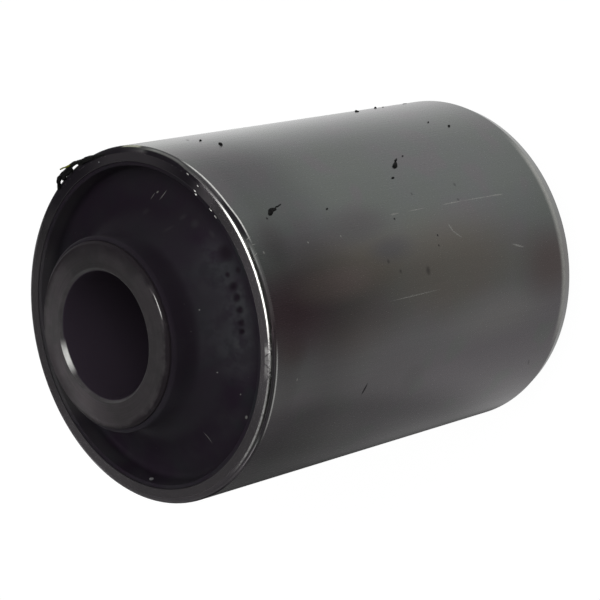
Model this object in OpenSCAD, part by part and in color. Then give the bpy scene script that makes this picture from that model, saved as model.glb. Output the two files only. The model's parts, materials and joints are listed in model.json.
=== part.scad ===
// Leaf spring bush: a steel outer sleeve, a thick steel inner sleeve for the bolt,
// and a dished rubber element bonded between them.
// Millimetres, +Z along the bush. The origin is the middle of the bolt's bore.

/* [Outer sleeve] */
// Outside diameter of the outer sleeve, a press fit in the spring eye
sleeve_d = 58; // [52:0.5:80]
// Length of the outer sleeve
sleeve_len = 74; // [50:1:85]
// Wall thickness of the outer sleeve
sleeve_wall = 2.5; // [1.5:0.1:4]
// Radius of the rounded rim outside the top end
rim_round = 1; // [0.2:0.1:1.4]
// Lead-in taper at the bottom end: how far it comes in from the outside
lead_in_depth = 0.75; // [0.2:0.05:1.2]
// Lead-in taper at the bottom end: its length along the sleeve
lead_in_len = 2.1; // [0.5:0.1:6]

/* [Inner sleeve] */
// Outside diameter of the inner sleeve
tube_d = 30; // [26:0.5:36]
// Length of the inner sleeve, which stands proud at both ends
tube_len = 91; // [87:1:110]
// Bore for the bolt
bore_d = 20.5; // [12:0.5:23]
// Chamfer at each mouth of the bore
bore_chamfer = 0.5; // [0.2:0.1:1]
// Edge break round the outside of each end
tube_break = 0.4; // [0.1:0.1:0.8]

/* [Rubber element] */
// How far the rubber's lip sits below the outer sleeve's end
lip_recess = 0.1; // [0:0.1:1.5]
// Thickness of the lip at its edge
lip_wall = 0.7; // [0.3:0.1:1.5]
// How far the lip's inner side leans in from its edge down to the dish
lip_lean = 0.6; // [0:0.1:1.5]
// Round between the lip and the floor of the dish
lip_round = 0.9; // [0.3:0.1:2]
// Depth of the dish below the outer sleeve's end
dish_depth = 3.4; // [1.5:0.1:8]
// Radius of the flare between the neck and the floor of the dish
flare_r = 8.6; // [3:0.1:12]
// How far the top of the neck sits below the inner sleeve's end
neck_drop = 0.7; // [0.4:0.1:2]
// Thickness of the rubber neck at its top
neck_wall = 0.8; // [0.3:0.1:1.5]

/* [Hidden] */
$fn = 96;

sleeve_r = sleeve_d / 2;
mouth_r = sleeve_r - sleeve_wall;
sleeve_end = sleeve_len / 2;
tube_r = tube_d / 2;
tube_end = tube_len / 2;
bore_r = bore_d / 2;

// Radii and heights of the rubber's section, measured from the axis and the middle of the bush
neck_r = tube_r + neck_wall;
neck_top = tube_end - neck_drop;
lip_top = sleeve_end - lip_recess;
lip_edge_r = mouth_r - lip_wall;
lip_foot_r = lip_edge_r - lip_lean;
floor_z = sleeve_end - dish_depth;
// The flare ends where the round under the lip begins
flare = min(flare_r, lip_foot_r - neck_r - lip_round);
// Overshoot of a cut past the solid it opens
cut = 1;

// The waste between a square corner and the arc that rounds it, with the corner at the origin
module corner_fill(r) {
    difference() {
        square(r);
        translate([r, r]) circle(r);
    }
}

// Section of the hollow cut into the rubber's top end
module dish_section() {
    difference() {
        polygon([
            [neck_r, floor_z],
            [lip_foot_r, floor_z],
            [lip_edge_r, lip_top],
            [mouth_r + cut, lip_top],
            [mouth_r + cut, neck_top + cut],
            [neck_r, neck_top + cut]
        ]);
        translate([neck_r, floor_z]) corner_fill(flare);
        translate([lip_foot_r, floor_z]) mirror([1, 0]) corner_fill(lip_round);
    }
}

// Section of the waste outside the bull-nosed top of the neck
module neck_nose_section() {
    translate([neck_r, neck_top]) rotate(180) corner_fill(neck_wall);
}

// The steel tube that is pressed into the spring eye
module outer_sleeve() {
    color("#3d3d40")
    rotate_extrude()
    difference() {
        polygon([
            [mouth_r, -sleeve_end],
            [sleeve_r - lead_in_depth, -sleeve_end],
            [sleeve_r, -sleeve_end + lead_in_len],
            [sleeve_r, sleeve_end],
            [mouth_r, sleeve_end]
        ]);
        translate([sleeve_r, sleeve_end]) rotate(180) corner_fill(rim_round);
    }
}

// The rubber bonded between the sleeves, alike at both ends
module rubber_element() {
    color("#17171a")
    rotate_extrude()
    difference() {
        translate([tube_r, -neck_top]) square([mouth_r - tube_r, 2 * neck_top]);
        for (end = [0, 1]) mirror([0, end]) {
            dish_section();
            neck_nose_section();
        }
    }
}

// The thick steel tube that the bolt clamps
module inner_sleeve() {
    color("#4a4a4c")
    rotate_extrude()
    polygon([
        [bore_r, -tube_end + bore_chamfer],
        [bore_r + bore_chamfer, -tube_end],
        [tube_r - tube_break, -tube_end],
        [tube_r, -tube_end + tube_break],
        [tube_r, tube_end - tube_break],
        [tube_r - tube_break, tube_end],
        [bore_r + bore_chamfer, tube_end],
        [bore_r, tube_end - bore_chamfer]
    ]);
}

outer_sleeve();
rubber_element();
inner_sleeve();
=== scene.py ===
"""Spring bush: two turned steel sleeves with a dished rubber element bonded between them.

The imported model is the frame. Each class below makes one sub-assembly over it, from sizes that are read
off the frame or named in the class, and dresses it in its finish. Sizes are in millimetres and become
metres where a mesh is made. Angles round the bush are in degrees, from +X towards +Y.
"""

import json
import logging
import math
from dataclasses import dataclass, replace
from enum import Enum
from functools import reduce
from typing import Iterable, Union

import bmesh
import bpy
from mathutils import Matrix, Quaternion, Vector


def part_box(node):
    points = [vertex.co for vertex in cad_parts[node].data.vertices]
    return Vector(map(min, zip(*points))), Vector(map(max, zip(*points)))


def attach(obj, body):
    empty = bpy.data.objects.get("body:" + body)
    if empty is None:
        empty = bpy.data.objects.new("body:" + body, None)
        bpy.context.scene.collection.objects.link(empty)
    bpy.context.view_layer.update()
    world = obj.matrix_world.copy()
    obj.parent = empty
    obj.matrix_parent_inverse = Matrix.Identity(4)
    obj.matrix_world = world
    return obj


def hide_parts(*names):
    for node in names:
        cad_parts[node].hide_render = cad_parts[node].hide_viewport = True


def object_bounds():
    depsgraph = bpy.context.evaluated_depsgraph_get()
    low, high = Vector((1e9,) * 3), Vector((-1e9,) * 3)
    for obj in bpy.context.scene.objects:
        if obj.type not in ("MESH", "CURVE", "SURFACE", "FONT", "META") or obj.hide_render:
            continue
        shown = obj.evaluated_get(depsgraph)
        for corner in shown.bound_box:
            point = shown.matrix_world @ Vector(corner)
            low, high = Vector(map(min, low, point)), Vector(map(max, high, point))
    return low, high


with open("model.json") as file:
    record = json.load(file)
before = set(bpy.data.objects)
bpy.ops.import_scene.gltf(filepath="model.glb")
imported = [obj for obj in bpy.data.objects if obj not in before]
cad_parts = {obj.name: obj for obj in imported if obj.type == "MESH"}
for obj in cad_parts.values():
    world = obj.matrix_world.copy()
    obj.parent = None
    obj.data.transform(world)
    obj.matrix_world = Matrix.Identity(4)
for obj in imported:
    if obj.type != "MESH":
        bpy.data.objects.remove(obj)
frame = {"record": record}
CAD_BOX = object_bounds()

LOG = logging.getLogger("spring_bush")
BODY = "root"
MM = 0.001
MERGE = 0.0005 * MM

Socket = bpy.types.NodeSocket
Piece = bpy.types.Object
Feed = Union[Socket, float, int, tuple]
Colour = tuple[float, float, float, float]


class Slot(Enum):
    """The record's material slots."""

    SLEEVE = "sleeve_steel"
    RUBBER = "bonded_rubber"
    TUBE = "tube_steel"


class Ray(Enum):
    """Kinds of light path that the stage answers to."""

    CAMERA = "Is Camera Ray"
    GLOSSY = "Is Glossy Ray"
    THROUGH = "Is Transmission Ray"


# Node benches


class NodeBench:
    """Adds and wires nodes in one tree, for a shader or for geometry."""

    def __init__(self, tree: bpy.types.NodeTree) -> None:
        """Takes the tree that receives the nodes."""
        self.tree = tree

    def add(self, kind: str, feeds: dict | None = None, **settings: object) -> bpy.types.Node:
        """Adds a node, sets its options and feeds its inputs.

        Args:
            kind: The node's type name.
            feeds: Values or sockets by input name or number.
            settings: Options of the node.

        Returns:
            The new node.
        """
        node = self.tree.nodes.new(kind)
        for option, choice in settings.items():
            setattr(node, option, choice)
        for key, value in (feeds or {}).items():
            self.feed(node.inputs[key], value)
        return node

    def feed(self, socket: Socket, value: Feed) -> None:
        """Links a socket into an input, or sets the input's own value.

        Args:
            socket: The input.
            value: A socket to link, or a plain value.
        """
        if isinstance(value, Socket):
            self.tree.links.new(value, socket)
        else:
            socket.default_value = value

    def maths(self, operation: str, *values: Feed) -> Socket:
        """Returns the result of a Math node with these operands."""
        return self.add("ShaderNodeMath", dict(enumerate(values)), operation=operation).outputs[0]

    def vectors(self, operation: str, *values: Feed) -> Socket:
        """Returns the vector that a Vector Math node makes of these operands."""
        feeds = dict(enumerate(values))
        return self.add("ShaderNodeVectorMath", feeds, operation=operation).outputs["Vector"]

    def length(self, vector: Feed) -> Socket:
        """Returns the length of a vector."""
        return self.add("ShaderNodeVectorMath", {0: vector}, operation="LENGTH").outputs["Value"]

    def combine(self, x: Feed, y: Feed, z: Feed) -> Socket:
        """Returns a vector made of three numbers."""
        return self.add("ShaderNodeCombineXYZ", {0: x, 1: y, 2: z}).outputs[0]

    def ease(self, value: Feed, start: Feed, end: Feed, low: float = 0.0,
             high: float = 1.0) -> Socket:
        """Eases a value smoothly from one level to another, and holds it outside that stretch.

        Args:
            value: The value to read.
            start: Where the change starts.
            end: Where it ends.
            low: The level at the start.
            high: The level at the end.

        Returns:
            The eased level.
        """
        feeds = {0: value, 1: start, 2: end, 3: low, 4: high}
        return self.add("ShaderNodeMapRange", feeds, interpolation_type="SMOOTHSTEP").outputs[0]

    def noise(self, place: Feed, scale: float, seed: float, detail: float = 2.0,
              roughness: float = 0.5) -> Socket:
        """Adds noise from 0 to 1 with a fixed seed.

        Args:
            place: The coordinates.
            scale: Cells for each unit of the coordinates.
            seed: A fixed fourth coordinate.
            detail: Number of finer layers.
            roughness: Weight of the finer layers.

        Returns:
            The noise.
        """
        feeds = {"Vector": place, "W": seed, "Scale": scale, "Detail": detail, "Roughness": roughness}
        return self.add("ShaderNodeTexNoise", feeds, noise_dimensions="4D").outputs[0]

    def product(self, *values: Feed) -> Socket:
        """Returns the product of several numbers."""
        return reduce(lambda left, right: self.maths("MULTIPLY", left, right), values)

    def gain(self, mask: Feed, change: float) -> Socket:
        """Returns a factor that is 1 outside a mask and changes by so much inside it."""
        return self.maths("MULTIPLY_ADD", mask, change, 1.0)

    def outside(self, mask: Feed) -> Socket:
        """Returns the mask of everything outside another."""
        return self.maths("SUBTRACT", 1.0, mask)

    def mix(self, share: Feed, low: Feed, high: Feed) -> Socket:
        """Returns a number between two, by a share from 0 to 1."""
        return self.add("ShaderNodeMix", {0: share, 2: low, 3: high}, data_type="FLOAT").outputs[0]

    def scaled(self, vector: Feed, share: Feed) -> Socket:
        """Returns a vector or a colour times a number."""
        return self.vectors("MULTIPLY", vector, self.combine(share, share, share))

    def places(self) -> Socket:
        """Returns the object's own coordinates, in millimetres."""
        coordinates = self.add("ShaderNodeTexCoord").outputs["Object"]
        return self.vectors("MULTIPLY", coordinates, (1 / MM, 1 / MM, 1 / MM))

    def band(self, value: Feed, start: float, full: float, fade: float, gone: float) -> Socket:
        """Masks a band of values that starts, is full, fades and is gone at the given ones."""
        return self.product(self.ease(value, start, full), self.ease(value, gone, fade))

    def largest(self, values: Iterable[Socket]) -> Socket:
        """Returns the largest of several numbers."""
        return reduce(lambda left, right: self.maths("MAXIMUM", left, right), values)


@dataclass(frozen=True)
class Mark:
    """An oval mark on a surface, laid out on that surface's own flat map.

    Attributes:
        across: Where its centre is, along the map's first axis.
        along: Where its centre is, along the map's second axis.
        long: Half its length.
        wide: Half its width.
        turn: Angle of its length from the map's first axis, in degrees.
    """

    across: float
    along: float
    long: float
    wide: float
    turn: float = 0.0


class Paint(NodeBench):
    """A material in the making, with ready coordinates in millimetres."""

    def __init__(self, name: str, colour: Colour) -> None:
        """Starts a material with one Principled shader.

        Args:
            name: The material's name.
            colour: Its first colour, which the coats go over.
        """
        self.colour: Feed = colour
        self.material = bpy.data.materials.new(name)
        self.material.use_nodes = True
        super().__init__(self.material.node_tree)
        self.tree.nodes.clear()
        self.shader = self.add("ShaderNodeBsdfPrincipled")
        self.add("ShaderNodeOutputMaterial", {"Surface": self.shader.outputs[0]})
        self.place = self.places()
        self.x, self.y, self.z = self.add("ShaderNodeSeparateXYZ", {0: self.place}).outputs
        self.radius = self.length(self.combine(self.x, self.y, 0.0))
        self.angle = self.maths("ARCTAN2", self.y, self.x)

    def set(self, **values: Feed) -> None:
        """Feeds the shader its colour and its other inputs, named with underscores for spaces.

        Args:
            values: Values or sockets by input name.
        """
        for name, value in {"Base_Color": self.colour, **values}.items():
            self.feed(self.shader.inputs[name.replace("_", " ")], value)

    def coat(self, share: Feed, colour: Feed) -> None:
        """Lays a colour over the material's own, by a share from 0 to 1."""
        feeds = {0: share, 6: self.colour, 7: colour}
        self.colour = self.add("ShaderNodeMix", feeds, data_type="RGBA").outputs[2]

    def shade(self, factor: Feed) -> None:
        """Makes the material's colour lighter or darker by a factor."""
        self.colour = self.scaled(self.colour, factor)

    def relief(self, height: Feed, depth: float, under: Feed | None = None) -> Socket:
        """Adds fine relief to the surface's normal.

        Args:
            height: The relief, from 0 to 1.
            depth: How deep that is, in millimetres.
            under: A normal with coarser relief to build on.

        Returns:
            The new normal.
        """
        feeds = {"Height": height, "Distance": depth * MM}
        if under is not None:
            feeds["Normal"] = under
        return self.add("ShaderNodeBump", feeds).outputs[0]

    def along(self, start: float, end: float, low: float = 0.0, high: float = 1.0) -> Socket:
        """Eases between two levels from one angle round the bush to another, in degrees."""
        return self.ease(self.angle, math.radians(start), math.radians(end), low, high)

    def stretch(self, start: float, end: float, fade: float) -> Socket:
        """Masks a stretch of the round.

        Args:
            start: Where it starts, in degrees from +X towards +Y.
            end: Where it ends.
            fade: Degrees over which it fades at each end.

        Returns:
            The mask.
        """
        return self.product(self.along(start - fade, start + fade), self.along(end + fade, end - fade))

    def marks(self, flat_map: Feed, marks: Iterable[Mark], soft: float = 0.5) -> Socket:
        """Masks several oval marks on a flat map.

        Args:
            flat_map: The surface's flat coordinates, in millimetres.
            marks: The marks.
            soft: Share of a mark's size over which its edge fades.

        Returns:
            A mask that is 1 inside the marks.
        """
        masks = []
        for mark in marks:
            from_centre = self.vectors("SUBTRACT", flat_map, (mark.across, mark.along, 0.0))
            feeds = {"Vector": from_centre, "Angle": math.radians(-mark.turn)}
            turned = self.add("ShaderNodeVectorRotate", feeds, rotation_type="Z_AXIS").outputs[0]
            share = self.length(self.vectors("MULTIPLY", turned, (1 / mark.long, 1 / mark.wide, 0.0)))
            masks.append(self.ease(share, 1.0 + soft, 1.0 - soft))
        return self.largest(masks)


# Finishes


@dataclass(frozen=True)
class SleeveSteel:
    """Dark drawn steel of the outer sleeve, with a filmed oil bloom, a worn rim, and painted shade and
    painted highlights on its side and rim.

    Attributes:
        radius: Outside radius of the sleeve.
        end: Height of the sleeve's top end.
        mouth: Inside radius of the sleeve.
        rim: Radius of the rounded rim.
    """

    radius: float
    end: float
    mouth: float
    rim: float
    tone: Colour = (0.1138, 0.1204, 0.1180, 1.0)
    slate: Colour = (0.1165, 0.1165, 0.1205, 1.0)
    moss: Colour = (0.1120, 0.1210, 0.1130, 1.0)
    plum: Colour = (0.1235, 0.1140, 0.1215, 1.0)
    # Side patch colours: olive is an oil tint; wine, umber, dusk and the brown one are painted shade; ashen
    # is painted light; amber is a paler warm patch.
    olive: Colour = (0.1165, 0.1055, 0.0925, 1.0)
    wine: Colour = (0.1020, 0.0710, 0.0800, 1.0)
    umber: Colour = (0.0920, 0.0820, 0.0800, 1.0)
    dusk: Colour = (0.0950, 0.0920, 0.0930, 1.0)
    brown_shade: Colour = (0.0940, 0.0790, 0.0770, 1.0)
    amber: Colour = (0.1560, 0.1290, 0.1220, 1.0)
    ashen: Colour = (0.1480, 0.1430, 0.1420, 1.0)
    # The three light colours below are painted highlights on the rim's crest and edges; the second is also
    # worn and scratched bare steel, the third also the white of chips.
    pale: Colour = (0.34, 0.35, 0.27, 1.0)
    bared_and_highlight: Colour = (0.36, 0.36, 0.34, 1.0)
    chip_and_highlight_white: Colour = (0.60, 0.60, 0.58, 1.0)
    # The next dark colour is real grime in stains and specks, and also painted shade on the rim and the back
    # edge; the one after is a rubber smear, lightened as painted light.
    grime_and_shade: Colour = (0.009, 0.0075, 0.0100, 1.0)
    smear_and_painted_light: Colour = (0.031, 0.029, 0.031, 1.0)
    gloss: float = 0.27
    rim_gloss: float = 0.2

    def on_side(self, angle: float, share: float, long: float, wide: float, turn: float = 0.0) -> Mark:
        """Places a mark on the sleeve's unrolled side.

        Args:
            angle: Degrees from the side that faces -Y, towards +X.
            share: Share of the sleeve's length, from the top end.
            long: Half its length.
            wide: Half its width.
            turn: Angle of its length from the round of the sleeve, in degrees.

        Returns:
            The mark.
        """
        return Mark(math.radians(angle) * self.radius, self.end * (1 - 2 * share), long, wide, turn)

    def scratches(self) -> list[Mark]:
        """Lists the light scratches and nicks on the sleeve's side."""
        rows = (
            (17.6, 0.452, 0.9, 0.09, 90), (17.6, 0.522, 1.7, 0.05, 90), (17.5, 0.644, 2.0, 0.07, 90),
            (17.3, 0.736, 3.5, 0.05, 89), (17.1, 0.797, 1.3, 0.08, 88), (-9.4, 0.444, 4.7, 0.07, 90),
            (9.2, 0.606, 0.7, 0.13, 21), (6.9, 0.619, 1.0, 0.09, 49), (-1.2, 0.812, 1.2, 0.14, 72),
            (19.2, 0.013, 0.45, 0.06, 112), (16.9, 0.018, 0.35, 0.06, 95),
            (13.6, 0.011, 0.45, 0.07, 120), (14.1, 0.167, 0.16, 0.12), (14.0, 0.266, 0.14, 0.12),
            (13.8, 0.036, 0.2, 0.13), (-26.8, 0.078, 0.2, 0.12),
        )
        return [self.on_side(*row) for row in rows]

    def specks(self) -> list[Mark]:
        """Lists the flat dark specks and hairs on the sleeve's side."""
        rows = (
            (24.4, 0.089, 0.2, 0.18), (4.5, 0.55, 0.17, 0.14), (7.8, 0.556, 0.2, 0.15),
            (16.0, 0.444, 0.2, 0.17), (71.4, 0.132, 0.3, 0.2), (-37.0, 0.302, 1.0, 0.2, 159),
        )
        return [self.on_side(*row) for row in rows]

    def stains(self) -> list[Mark]:
        """Lists the faint soft stains on the sleeve's side."""
        rows = (
            (3.0, 0.38, 0.3, 0.24), (-0.9, 0.41, 0.28, 0.22), (-2.6, 0.497, 0.65, 0.42),
            (18.2, 0.667, 0.22, 0.2), (23.3, 0.534, 0.22, 0.2), (23.7, 0.682, 0.3, 0.24),
            (-46.0, 0.898, 0.6, 0.2, 30),
        )
        return [self.on_side(*row) for row in rows]

    def film_and_shade_patches(self) -> list[tuple[Colour, list[Mark]]]:
        """Lists the side's tinted, darker and paler patches, with their colours: olive is an oil tint, the
        darker ones are painted shade, ashen is painted light and amber is a paler warm patch.
        """
        return [
            (self.olive, [self.on_side(2.0, 0.30, 5.0, 14.0), self.on_side(-3.0, 0.57, 7.0, 15.0)]),
            (self.dusk, [self.on_side(-30.0, 0.30, 7.0, 13.0), self.on_side(-28.0, 0.04, 4.5, 3.2),
                         self.on_side(17.0, 0.33, 2.6, 6.0), self.on_side(17.0, 0.07, 3.0, 2.6),
                         self.on_side(7.0, 0.40, 1.8, 4.0), self.on_side(-37.0, 0.45, 2.6, 3.2)]),
            (self.ashen, [self.on_side(-56.0, 0.20, 5.0, 8.0), self.on_side(-22.0, 0.73, 3.5, 10.0)]),
            (self.umber, [self.on_side(-14.0, 0.25, 4.5, 9.0), self.on_side(-17.0, 0.06, 2.6, 3.0)]),
            (self.wine, [self.on_side(-6.0, 0.07, 5.0, 7.5)]),
            (self.brown_shade, [self.on_side(-9.0, 0.92, 5.0, 6.5)]),
            (self.amber, [self.on_side(-0.5, 0.20, 2.2, 7.0)]),
        ]

    def lay_film_and_shade(self, paint: Paint, streaks: Feed, side: Feed) -> None:
        """Lays the drawn steel's own colours, with its streaks, its oil film and its painted shade and
        light.

        Args:
            paint: The material in the making.
            streaks: Noise drawn out along the sleeve.
            side: The sleeve's unrolled side.
        """
        clouds = paint.noise(paint.vectors("MULTIPLY", paint.place, (1.0, 1.0, 0.45)), 0.06, 8.0, 3.0)
        blooms = paint.noise(paint.place, 0.05, 21.0, 3.0)
        paint.coat(paint.ease(clouds, 0.42, 0.66), self.slate)
        paint.coat(paint.ease(blooms, 0.5, 0.68, 0.0, 0.8), self.moss)
        paint.coat(paint.ease(paint.x, -6.0, -18.0), self.plum)
        haze = paint.noise(paint.place, 0.16, 27.0, 1.0)
        paint.coat(paint.ease(haze, 0.52, 0.64, 0.0, 0.6), self.plum)
        paint.coat(paint.ease(haze, 0.48, 0.36, 0.0, 0.6), self.moss)
        on_side = paint.ease(paint.radius, self.radius - self.rim, self.radius - self.rim * 0.4)
        for film, zones in self.film_and_shade_patches():
            patchy = paint.ease(clouds, 0.3, 0.6, 0.7, 1.0)
            filmed = paint.product(paint.marks(side, zones, 0.8), patchy, on_side)
            paint.coat(filmed, film)
        # Painted shade and light: darker on the +X side over the upper half, darker towards the top end,
        # lighter again just below the rim.
        dim = paint.product(paint.ease(paint.x, 18.5, 24.5), paint.ease(paint.z, -20.0, 4.0))
        shade = paint.product(paint.ease(streaks, 0.25, 0.75, 0.985, 1.015),
                              paint.gain(dim, -0.14),
                              paint.ease(paint.z, self.end * 0.38, self.end * 0.7, 1.0, 0.77),
                              paint.ease(paint.z, self.end - 6.0, self.end - 1.5, 1.0, 1.14))
        paint.shade(paint.mix(on_side, 1.0, shade))

    def lean(self, paint: Paint) -> Socket:
        """Measures how far round the rim a place is.

        Args:
            paint: The material in the making.

        Returns:
            The turn in radians: 0 at the sleeve's side and a quarter turn at its end face.
        """
        out = paint.maths("SUBTRACT", paint.radius, self.radius - self.rim)
        rise = paint.maths("SUBTRACT", paint.z, self.end - self.rim)
        return paint.maths("ARCTAN2", rise, out)

    def crest(self, paint: Paint, lean: Feed, spots: Feed) -> Socket:
        """Masks the crest of the rim, which is rubbed bright towards -Y and carries a painted highlight.

        Args:
            paint: The material in the making.
            lean: How far round the rim a place is.
            spots: Fine noise that breaks the wear up.

        Returns:
            The mask.
        """
        broad = paint.band(lean, 0.6, 0.8, 1.32, 1.46)
        farther = paint.along(-57.0, -44.0, 0.0, 0.28)
        topmost = paint.along(-42.0, -32.0, 0.0, 0.3)
        shifted = paint.maths("ADD", paint.maths("ADD", lean, farther), topmost)
        slim = paint.band(shifted, 0.96, 1.1, 1.34, 1.46)
        high = paint.mix(paint.stretch(-69.0, -20.0, 6.0), broad, slim)
        rubbed = paint.maths("MULTIPLY_ADD", paint.stretch(-102.5, -58.0, 5.0), 0.7,
                             paint.product(paint.stretch(-140.0, -18.0, 5.0), 0.3))
        rubbed = paint.maths("MULTIPLY_ADD", paint.stretch(-38.0, -18.0, 4.0), 0.3, rubbed)
        return paint.product(high, rubbed, paint.ease(spots, 0.25, 0.5, 0.5, 0.9))

    def chips(self, paint: Paint, lean: Feed, spots: Feed) -> Socket:
        """Masks the chipped crest, and the painted highlights on the crest beyond the chip and on the rim's
        outer edge.

        Args:
            paint: The material in the making.
            lean: How far round the rim a place is.
            spots: Fine noise that breaks the chips up.

        Returns:
            The mask.
        """
        face = paint.ease(paint.radius, self.radius - self.rim * 1.7, self.radius - self.rim * 1.4)
        near = paint.product(paint.ease(lean, 0.8, 1.0), face)
        knocked = paint.product(near, paint.stretch(-114.5, -105.0, 2.5), paint.ease(spots, 0.36, 0.5),
                                paint.along(-107.8, -105.5, 0.36, 0.9))
        # Painted highlight: a light line along the crest past the chip.
        trail = paint.product(paint.band(lean, 1.0, 1.1, 1.3, 1.42),
                              paint.stretch(-148.0, -114.0, 6.0), paint.ease(spots, 0.3, 0.6, 0.3, 0.5))
        flat_map = paint.combine(paint.x, paint.y, 0.0)
        cuts = paint.marks(flat_map, self.cuts(), 0.4)
        knocked = paint.product(paint.maths("MAXIMUM", knocked, trail), paint.outside(cuts))
        # Painted highlights: a light line on the rim's outer edge and a faint light band over the rim.
        lower_down = paint.along(-57.0, -66.0, 0.0, 0.26)
        graze = paint.maths("ADD", lean, lower_down)
        outer = paint.band(graze, -0.04, 0.06, 0.22, 0.36)
        upper = paint.product(paint.stretch(-70.0, -37.0, 4.0), paint.ease(spots, 0.3, 0.5, 0.6, 1.0))
        lower = paint.product(paint.stretch(-134.0, -106.0, 5.0), 0.45)
        hazy = paint.product(paint.band(lean, -0.3, 0.0, 0.6, 0.75),
                             paint.stretch(-97.0, -73.0, 4.0), 0.12)
        return paint.largest([knocked, hazy, paint.product(outer, paint.maths("MAXIMUM", upper, lower))])

    def cuts(self) -> list[Mark]:
        """Lists the dark cuts across the chipped crest, seen down the axis."""
        spots = ((-107.3, 27.9, 40.0), (-111.0, 28.1, -35.0), (-114.6, 28.2, 70.0))
        marks = []
        for angle, radius, turn in spots:
            x = radius * math.cos(math.radians(angle))
            y = radius * math.sin(math.radians(angle))
            marks.append(Mark(x, y, 0.55, 0.1, angle + turn))
        return marks

    def end_film_and_shade(self, paint: Paint, lean: Feed, spots: Feed) -> Socket:
        """Masks the rubber film that the mould left on the top end's face, and painted shade on its rim and
        crest.

        Args:
            paint: The material in the making.
            lean: How far round the rim a place is.
            spots: Fine noise that breaks the film's edge up.

        Returns:
            The mask.
        """
        at_end = paint.ease(paint.z, self.end - self.rim * 1.1, self.end - self.rim)
        ragged = paint.maths("ADD", paint.radius, paint.ease(spots, 0.3, 0.7, -0.25, 0.25))
        inside = paint.ease(ragged, self.radius - self.rim * 0.7, self.radius - self.rim * 1.1)
        thin = paint.gain(paint.stretch(-30.0, 6.0, 10.0), -0.17)
        face = paint.product(inside, paint.stretch(-50.0, 40.0, 9.0), thin)
        # Painted shade from here on: a darkened stretch of the rim, a dark outline, a dark band under the
        # rim and dark bands by the crest.
        rising = paint.ease(lean, 0.02, 0.12)
        rim = paint.product(rising, paint.ease(lean, 1.75, 1.62), paint.stretch(-20.0, 46.0, 14.0))
        far = paint.product(paint.maths("MAXIMUM", paint.y, 0.0), -0.8 / self.radius)
        outline = paint.product(rising, paint.ease(paint.maths("ADD", lean, far), 0.72, 0.5),
                                paint.outside(paint.stretch(-154.0, 40.0, 12.0)))
        under = paint.product(rising, paint.ease(lean, 1.7, 1.5), 0.6,
                              paint.outside(paint.stretch(-150.0, 140.0, 8.0)))
        topmost = paint.along(-42.0, -32.0, 0.0, 0.24)
        hidden = paint.product(paint.ease(paint.maths("ADD", lean, topmost), 1.04, 1.2),
                               paint.ease(lean, 1.75, 1.6), paint.stretch(-48.0, -18.0, 4.0))
        gap = paint.product(paint.band(lean, -0.12, 0.02, 0.8, 1.0), paint.stretch(-72.0, -55.0, 4.0), 0.92)
        rows = (((0.35, 0.45, 1.24, 1.36), (-56.0, -22.0, 8.0), 0.5),
                ((0.08, 0.18, 0.36, 0.46), (-40.0, -17.0, 3.0), 0.6),
                ((0.32, 0.42, 0.64, 0.74), (-136.0, -101.0, 3.0), 0.85))
        lines = [paint.product(paint.band(lean, *rise), paint.stretch(*run), share)
                 for rise, run, share in rows]
        on_end = paint.largest([face, rim, outline, under, hidden, *lines])
        return paint.maths("MAXIMUM", gap, paint.product(at_end, on_end))

    def material(self) -> bpy.types.Material:
        """Mixes the finish.

        Returns:
            The sleeve's material.
        """
        paint = Paint("sleeve steel", self.tone)
        drawn = paint.vectors("MULTIPLY", paint.place, (1.0, 1.0, 0.02))
        streaks = paint.noise(drawn, 2.2, 3.0, 4.0, 0.6)
        fine_streaks = paint.noise(drawn, 9.0, 4.0, 2.0)
        spots = paint.noise(paint.place, 1.6, 12.0, 4.0, 0.7)
        from_front = paint.maths("ARCTAN2", paint.x, paint.product(paint.y, -1.0))
        side = paint.combine(paint.product(from_front, self.radius), paint.z, 0.0)
        lean = self.lean(paint)
        self.lay_film_and_shade(paint, streaks, side)
        on_face = paint.ease(paint.z, self.end - self.rim * 0.2, self.end - self.rim * 0.05)
        paint.coat(on_face, self.plum)
        # Painted light and shade on the end face: stretches round it made lighter or darker.
        stretches = ((-125.0, -72.0, 10.0, 0.5), (60.0, 148.0, 14.0, -0.1),
                     (112.0, 150.0, 12.0, 0.45), (24.0, 52.0, 14.0, -0.68))
        face_light_and_shade = paint.product(*(paint.gain(paint.stretch(start, end, fade), change)
                                 for start, end, fade, change in stretches))
        paint.shade(paint.mix(on_face, 1.0, face_light_and_shade))
        # Paler bands at the back lead-in, just above it and on the crest: partly worn bare steel, partly
        # painted highlight.
        taper = paint.ease(paint.z, -self.end + 2.2, -self.end + 1.8, 0.0, 0.25)
        worn = paint.product(paint.ease(paint.z, -self.end + 3.5, -self.end + 2.5),
                             paint.ease(paint.z, -self.end + 1.9, -self.end + 2.2),
                             paint.stretch(-126.0, -56.0, 10.0), paint.ease(spots, 0.3, 0.6, 0.6, 0.8))
        rubbed = paint.largest([self.crest(paint, lean, spots), taper, worn])
        paint.coat(rubbed, self.bared_and_highlight)
        # Painted shade: a dark outline along the back edge.
        back_outline_shade = paint.product(paint.ease(paint.z, -self.end + 0.5, -self.end + 0.25),
                             paint.stretch(-98.0, -48.0, 8.0), 0.5)
        paint.coat(back_outline_shade, self.grime_and_shade)
        # Rubber film on the end face, with painted shade on the rim.
        film = self.end_film_and_shade(paint, lean, spots)
        paint.coat(film, self.grime_and_shade)
        # A rubber smear at the mouth's edge, its colour lightened to the lit end face as painted light.
        inner = paint.ease(paint.radius, self.mouth + 0.14, self.mouth + 0.08)
        paint.coat(inner, self.smear_and_painted_light)
        # Chips, and painted highlights on the rim's edges.
        chipped = self.chips(paint, lean, spots)
        paint.coat(chipped, self.chip_and_highlight_white)
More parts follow.
